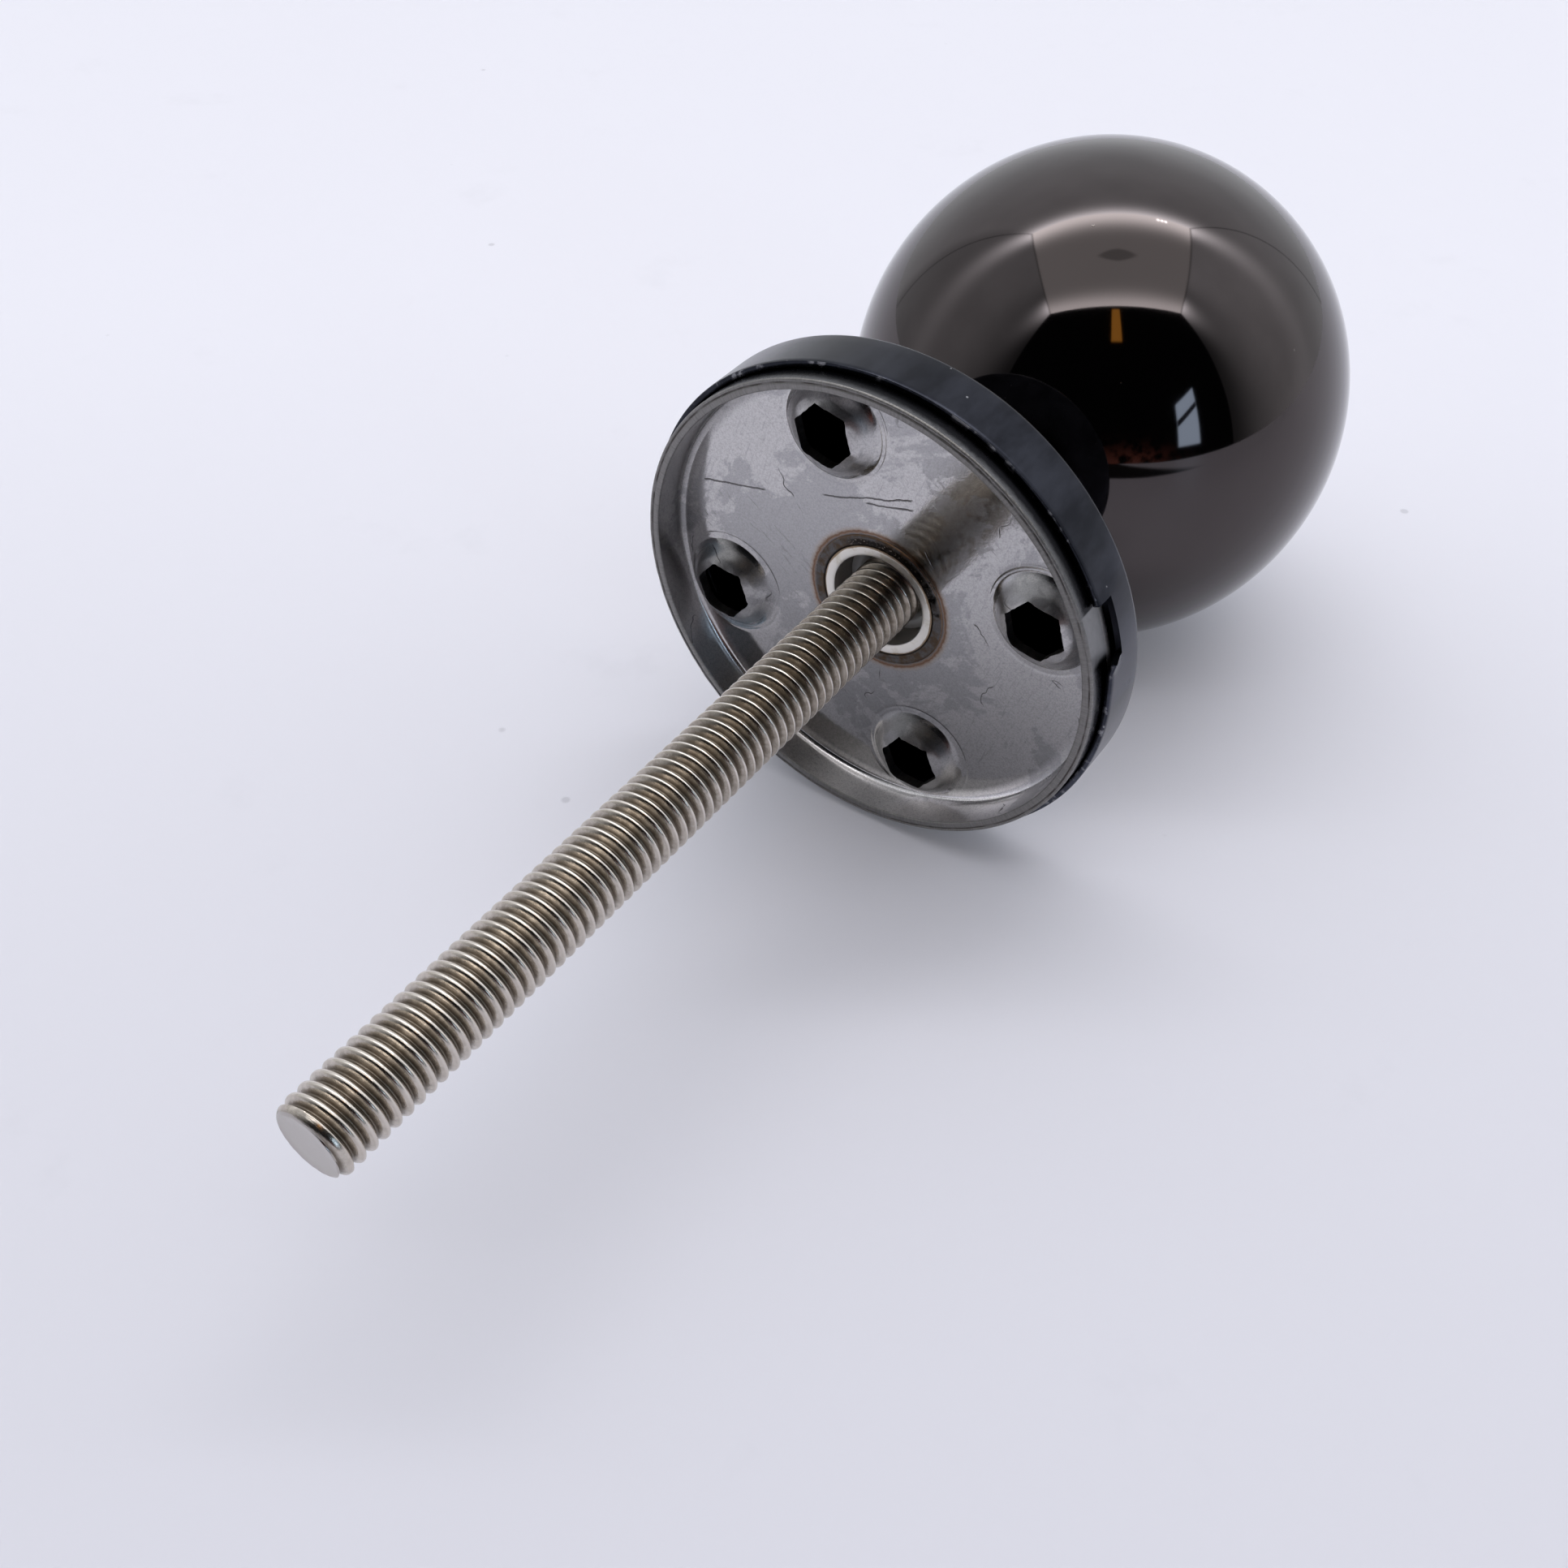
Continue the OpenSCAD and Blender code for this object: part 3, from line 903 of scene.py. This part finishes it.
def punched_outline(centre, seed, count=54):
    """The torn six-sided edge of a punched hole, as (x, z) points."""
    draw = random.Random(seed)
    turn = draw.uniform(0, math.pi / 3)
    points = []
    for i in range(count):
        angle = TAU * i / count
        side = (angle - turn) % (math.pi / 3) - math.pi / 6
        hexagon = 2.36 / math.cos(side)
        lean = 0.16 * math.cos(2 * angle + seed) + 0.08 * math.cos(3 * angle + 2 * seed)
        radius = hexagon + 0.35 * lean + draw.uniform(-0.035, 0.035)
        points.append(centre + radius * spoke(angle))
    return points


def recess_height(spot, centres, foot_r):
    """Height of the pressed recesses over the sheet, with the faint groove round each foot."""
    gap = min((spot - centre).length for centre in centres)
    t = share((foot_r - gap) / (foot_r - RECESS_TOP_R))
    groove = 0.045 * math.exp(-((gap - RECESS_GROOVE_R) / 0.12) ** 2)
    return RECESS_H * (t - 0.35 * math.sin(TAU * t) / TAU) - groove


def corner_height(radius):
    """Height of the dish's inside corner over its floor."""
    over = radius - (PLATE_R - PLATE_SHEET - PLATE_CORNER)
    if over <= 0:
        return 0.0
    return PLATE_CORNER - math.sqrt(max(PLATE_CORNER ** 2 - over ** 2, 0.0))


def add_sheet_side(shape, surface_y, edge_radii, foot_r, centres, holes, corner):
    """One face of the plate's floor, as a triangle net through rings round the axis and each recess."""
    outer_r = edge_radii[-1]
    places = [spoke(a, TUBE_R) for a in ring_angles(NECK_COUNT)]
    places += [spoke(a, outer_r) for a in ring_angles(PLATE_COUNT)]
    loops = [list(range(NECK_COUNT)), list(range(NECK_COUNT, NECK_COUNT + PLATE_COUNT))]
    for hole in holes:
        loops.append(list(range(len(places), len(places) + len(hole))))
        places.extend(hole)
    for centre in centres:
        spots = [centre + radius * spoke(a) for radius in RECESS_NET_R for a in ring_angles(60)]
        places += [spot for spot in spots if spot.length < edge_radii[0] - 0.08]
    for radii, count, clear_r in ((edge_radii[:-1], PLATE_COUNT, 2.9), (FLOOR_NET_R, 72, 5.4)):
        spots = [radius * spoke(a) for radius in radii for a in ring_angles(count)]
        places += [spot for spot in spots if min((spot - c).length for c in centres) > clear_r]
    edges = [(loop[i - 1], loop[i]) for loop in loops for i in range(len(loop))]
    points, _, faces, _, _, _ = delaunay_2d_cdt(places, edges, [], 0, 1e-7)
    for face in faces:
        middle = sum((points[i] for i in face), Vector((0, 0))) / len(face)
        if middle.length < TUBE_R * 0.999 or middle.length > outer_r:
            continue
        if any(inside(middle, hole) for hole in holes):
            continue
        shape.add_face([floor_point(points[i], surface_y, foot_r, centres, corner) for i in face])


def floor_point(spot, surface_y, foot_r, centres, corner):
    """A point on one face of the plate's floor; corner says whether that face rises into the wall."""
    rise = recess_height(spot, centres, foot_r)
    if corner and spot.length > 18.5:
        rise = max(rise, corner_height(spot.length))
    return Vector((spot.x, surface_y + rise, spot.y))


def inside(spot, loop):
    """True if a point lies within a closed loop of points."""
    crossed = False
    for i, here in enumerate(loop):
        last = loop[i - 1]
        if (here.y > spot.y) != (last.y > spot.y):
            cut = (last.x - here.x) * (spot.y - here.y) / (last.y - here.y) + here.x
            crossed ^= spot.x < cut
    return crossed


def lean_in(place, centre):
    """The crest of the burr over one point of a hole's edge."""
    lean = (Vector((centre.x, place.y, centre.y)) - place) * 0.025
    return place + lean + Vector((0, 0.05 + 0.04 * clay(3 * place.x, 0, 3 * place.z), 0))


def add_hole_edge(shape, centre, hole, centres, back_y, back_foot_r):
    """The cut through the sheet at one punched hole, with its burr standing on the front."""
    top = [floor_point(p, PLATE_FLOOR_Y, RECESS_FOOT_R, centres, True) for p in hole]
    low = [floor_point(p, back_y, back_foot_r, centres, False) for p in hole]
    burr = [lean_in(p, centre) for p in top]
    torn = [t.lerp(b, 0.12) for t, b in zip(top, low)]
    shape.add_grid([top, burr], 0, close=True)
    shape.add_grid([burr, torn, low], 1, close=True)


def sheared(radius, y, angle):
    """The plate's rim is a little torn."""
    if y < -0.3:
        return radius, y
    return radius, min(y - 0.02 + 0.03 * clay_round(angle, 19, radius * 2), 0.0)


def add_plate_wall(shape, wall_r, back_y):
    """The dish's wall, its sheared rim and its rounded back."""
    back_corner = PLATE_SHEET + PLATE_CORNER
    wall = [(wall_r, PLATE_FLOOR_Y + PLATE_CORNER), (wall_r, -1.6), (wall_r, -0.6), (wall_r, -0.14)]
    rim = offset(wall_r, 0, (0, -0.14), (0.02, -0.06), (0.07, -0.015), (0.15, 0), (0.3, 0), (0.42, 0),
                 (0.50, -0.01), (0.56, -0.07), (0.62, -0.07), (0.67, -0.01), (0.74, 0), (0.81, -0.02),
                 (0.87, -0.08)) + [(PLATE_R, -0.2)]
    outside = [rim[-1], (PLATE_R, -1.0), (PLATE_R, -2.3)]
    back = [outside[-1], (PLATE_R, back_y + back_corner)]
    back += arc((PLATE_R - back_corner, back_y + back_corner), back_corner, 0, -90, 8)[1:]
    lathe(shape, wall, PLATE_COUNT, 0)
    lathe(shape, rim, PLATE_COUNT, 1, shift=sheared)
    lathe(shape, outside, PLATE_COUNT, 2)
    lathe(shape, back, PLATE_COUNT, 0)


def make_plate():
    """The pressed dish: its floor with four pierced recesses, and its wall."""
    centres = screw_centres()
    holes = [punched_outline(c, seed) for c, seed in zip(centres, HOLE_SEEDS)]
    wall_r = PLATE_R - PLATE_SHEET
    flat_r = wall_r - PLATE_CORNER
    back_y = PLATE_FLOOR_Y - PLATE_SHEET
    back_foot_r = RECESS_FOOT_R - PLATE_SHEET / 2
    shape = Shape()
    front_radii = [flat_r + step for step in (0.0, 0.16, 0.3, 0.42, 0.51, 0.57, 0.6)]
    add_sheet_side(shape, PLATE_FLOOR_Y, front_radii, RECESS_FOOT_R, centres, holes, True)
    add_sheet_side(shape, back_y, [flat_r - 0.1, flat_r], back_foot_r, centres, holes, False)
    for centre, hole in zip(centres, holes):
        add_hole_edge(shape, centre, hole, centres, back_y, back_foot_r)
    neck = [turned(TUBE_R, PLATE_FLOOR_Y, a) for a in ring_angles(NECK_COUNT)]
    shape.add_grid([neck, [Vector((p.x, back_y, p.z)) for p in neck]], 0, close=True)
    add_plate_wall(shape, wall_r, back_y)
    piece = shape.make("screw_plate", [steel, rim_edge, outer_wall_shade], sharp=50)
    place_piece(piece, "knob", "stainless_sheet", "base_plate")


# Rose cover

NOTCH_CELLS = 12
SKIRT_CELLS = 288


def notch_flare(angle, y):
    """How far the skirt is bent out beside the prying notch, past a slanting crease."""
    degrees = math.degrees(angle)
    height = share((y - cover_low.y) / (cover_high.y - cover_low.y))
    crease = 146.5 + 8.0 * height
    end = NOTCH_ANGLE + NOTCH_SPAN / 2
    rise = share((degrees - crease) / 3.0)
    fall = share((end + 9.0 - degrees) / 9.0)
    lip = math.exp(-((degrees - end) / 1.6) ** 2) * max(height - 0.72, 0.0) * 1.3
    return 0.20 * rise * fall * height + lip


def cover_path(low, high):
    """The cover's section, and the places in it where the notch's cut starts and ends."""
    bore = TUBE_R + COVER_BORE_GAP
    inner_r = COVER_R - COVER_SHEET
    inner_y = low + COVER_SHEET
    notch_y = high - NOTCH_DEPTH
    path = offset(bore, low, (0, 0.08), (0.08, 0)) + [(8.0, low), (12.0, low), (16.0, low), (19.5, low)]
    path += arc((COVER_R - COVER_CORNER, low + COVER_CORNER), COVER_CORNER, -90, 0, 8)
    path += [(COVER_R, low + 1.6), (COVER_R, low + 2.4), (COVER_R, notch_y)]
    first_cut = len(path) - 1
    path += offset(COVER_R, notch_y, (0, 0.4), (0, 0.8), (0, 1.2))
    path += offset(COVER_R, high, (0, -0.12), (-0.04, -0.035), (-0.12, 0))
    path += offset(inner_r, high, (0.08, 0), (0.02, -0.03), (0, -0.1))
    path += offset(inner_r, notch_y, (0, 1.2), (0, 0.8), (0, 0.4), (0, 0))
    last_cut = len(path) - 1
    path += [(inner_r, low + 2.4), (inner_r, low + 1.6)]
    path += offset(inner_r, inner_y, (0, 0.12), (-0.04, 0.03), (-0.12, 0))
    path += [(19.0, inner_y), (14.0, inner_y), (9.0, inner_y), (bore, inner_y), path[0]]
    return path, first_cut, last_cut


def cover_angles():
    """Angles round the cover; the first NOTCH_CELLS steps span the notch."""
    start = NOTCH_ANGLE - NOTCH_SPAN / 2
    end = start + NOTCH_SPAN
    angles = [start + NOTCH_SPAN * i / NOTCH_CELLS for i in range(NOTCH_CELLS)]
    angles += [end + (360 - NOTCH_SPAN) * i / SKIRT_CELLS for i in range(SKIRT_CELLS)]
    return [math.radians(a) for a in angles]


def make_cover():
    """The thin drawn cover, with its notch cut in the skirt and the metal beside it bent."""
    low, high = cover_low.y, cover_high.y
    path, first_cut, last_cut = cover_path(low, high)
    angles = cover_angles()

    def point(index, angle):
        radius, y = path[index]
        if y > low + COVER_CORNER:
            radius += notch_flare(angle % TAU, y)
        if y > high - 0.2:
            y -= 0.012 * (1 + clay_round(angle, 5, 7.0))
        return turned(radius, y, angle)

    shape = Shape()
    for k in range(len(path) - 1):
        skipped = NOTCH_CELLS if first_cut <= k < last_cut else 0
        for i in range(skipped, len(angles)):
            here, there = angles[i], angles[(i + 1) % len(angles)]
            shape.add_face([point(k, here), point(k, there), point(k + 1, there), point(k + 1, here)])
    for here, there in zip(angles[:NOTCH_CELLS], angles[1:]):
        shape.add_face([point(first_cut, here), point(first_cut, there),
                        point(last_cut, there), point(last_cut, here)])
    for angle in (angles[0], angles[NOTCH_CELLS]):
        shape.add_face([point(k, angle) for k in range(first_cut, last_cut + 1)])
    piece = shape.make("cover", [satin], sharp=40)
    place_piece(piece, "cover", "cover_black_nickel", "rose_cover")


# Threaded rod

# Distance along the pitch, then the depth below the crest where the thread is sharp and where it is round.
THREAD_PROFILE = ((0.0, 0.0, 0.0), (0.06, 0.008, 0.004), (0.11, 0.045, 0.018), (0.17, 0.135, 0.050),
                  (0.24, 0.25, 0.125), (0.32, 0.38, 0.27), (0.40, 0.50, 0.46), (0.45, 0.542, 0.535))
ROUND_FROM_Y = 15.0
ROUND_TO_Y = 45.0
ROUND_MOST = 0.6
TIP_LENGTH = 1.1
TIP_DROP = 0.60


def thread_rows():
    """(distance along one pitch, sharp depth, round depth) of each row of points."""
    depth = ROD_R - ROOT_R
    rise = [(1 - at, sharp, soft) for at, sharp, soft in reversed(THREAD_PROFILE[1:])]
    return list(THREAD_PROFILE) + [(0.5, depth, depth)] + rise


def tip_limit(y, high):
    """The largest radius the worn, rounded tip leaves at a height."""
    along = share((y - high + TIP_LENGTH) / TIP_LENGTH)
    return ROD_R - TIP_DROP * (1 - math.sqrt(1 - along ** 2))


def make_rod():
    """A rolled right-hand thread, chamfered at its tip, cut flat at both ends."""
    count = 56
    rows = thread_rows()
    low, high = rod_low.y, rod_high.y
    per_turn = len(rows)
    turns = int((high - low) / PITCH) + 4
    first_y = low - 2.5 * PITCH
    first_y += (CREST_Y - first_y) % PITCH
    grid = []
    for turn in range(turns):
        for at, sharp, soft in rows:
            row = []
            for j in range(count):
                angle = -TAU * j / count
                y = first_y + (turn + at) * PITCH + PITCH * j / count
                nick = 0.012 * clay(2.2 * math.cos(angle), y * 0.7, 2.2 * math.sin(angle))
                roundness = ROUND_MOST * share((y - ROUND_FROM_Y) / (ROUND_TO_Y - ROUND_FROM_Y))
                depth = sharp + (soft - sharp) * roundness
                row.append(turned(min(ROD_R - depth - abs(nick), tip_limit(y, high)), y, angle))
            grid.append(row)
    shape = Shape()
    closed = [row + [later[0]] for row, later in zip(grid, grid[per_turn:])]
    shape.add_grid(closed)
    piece = shape.make("rod", [nickel], sharp=60)
    cut_flat(piece, low, Vector((0, -1, 0)))
    cut_flat(piece, high, Vector((0, 1, 0)))
    place_piece(piece, "rod", "nickel_rod", "threaded_rod")


def cut_flat(piece, y, away):
    """Cuts a mesh at y, drops what lies on the away side, and closes the cut with a slightly dished face."""
    work = bmesh.new()
    work.from_mesh(piece.data)
    everything = work.verts[:] + work.edges[:] + work.faces[:]
    cut = bmesh.ops.bisect_plane(work, geom=everything, dist=1e-8, plane_co=(0, y * MM, 0), plane_no=away,
                                 clear_outer=True)
    edges = [e for e in cut["geom_cut"] if isinstance(e, bmesh.types.BMEdge)]
    cap = bmesh.ops.edgeloop_fill(work, edges=edges)["faces"][0]
    rim = list(cap.verts)
    ring = rim
    work.faces.remove(cap)
    for scale, dip in ((0.95, 0.015), (0.88, 0.04), (0.6, 0.05), (0.3, 0.055)):
        inner = []
        for vert in rim:
            x, z = vert.co.x * scale, vert.co.z * scale
            inner.append(work.verts.new((x, (y - away.y * dip) * MM, z)))
        for i, vert in enumerate(ring):
            work.faces.new([ring[i - 1], vert, inner[i], inner[i - 1]])
        ring = inner
    work.faces.new(ring)
    bmesh.ops.recalc_face_normals(work, faces=work.faces)
    for face in work.faces:
        face.smooth = True
    work.to_mesh(piece.data)
    work.free()
    piece.data.set_sharp_from_angle(angle=math.radians(60))


# Table

def make_table():
    """A wide flat table top under the knob, tilted to match how the knob lies."""
    shape = Shape()
    half = TABLE_SIZE / 2
    spots = [-half + TABLE_SIZE * i / 24 for i in range(25)]
    shape.add_grid([[Vector((x, y, 0)) for x in spots] for y in spots])
    table = shape.make("table", [table_finish])
    tilt = Matrix.Rotation(math.radians(TABLE_TILT), 4, "X")
    drop = tilt @ Vector((0, 0, -TABLE_DROP * MM))
    table.matrix_world = Matrix.Translation(drop) @ tilt


make_camera()
make_world()
polish = black_nickel()
satin = satin_nickel()
steel = sheet_steel()
rim_edge = cut_edge()
outer_wall_shade = outer_wall()
weld = weld_metal()
bead = seam_bead()
tube_finish = tube_steel()
nickel = rod_nickel()
turned_steel = insert_steel()
table_finish = table_top()

make_table()
make_ball()
make_neck()
make_neck_weld()
make_insert()
make_mouth_weld()
make_plate()
make_cover()
make_rod()
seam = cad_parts["ball_seam_weld"]
seam.data.materials.clear()
seam.data.materials.append(bead)

bpy.context.scene.view_settings.view_transform = "Standard"
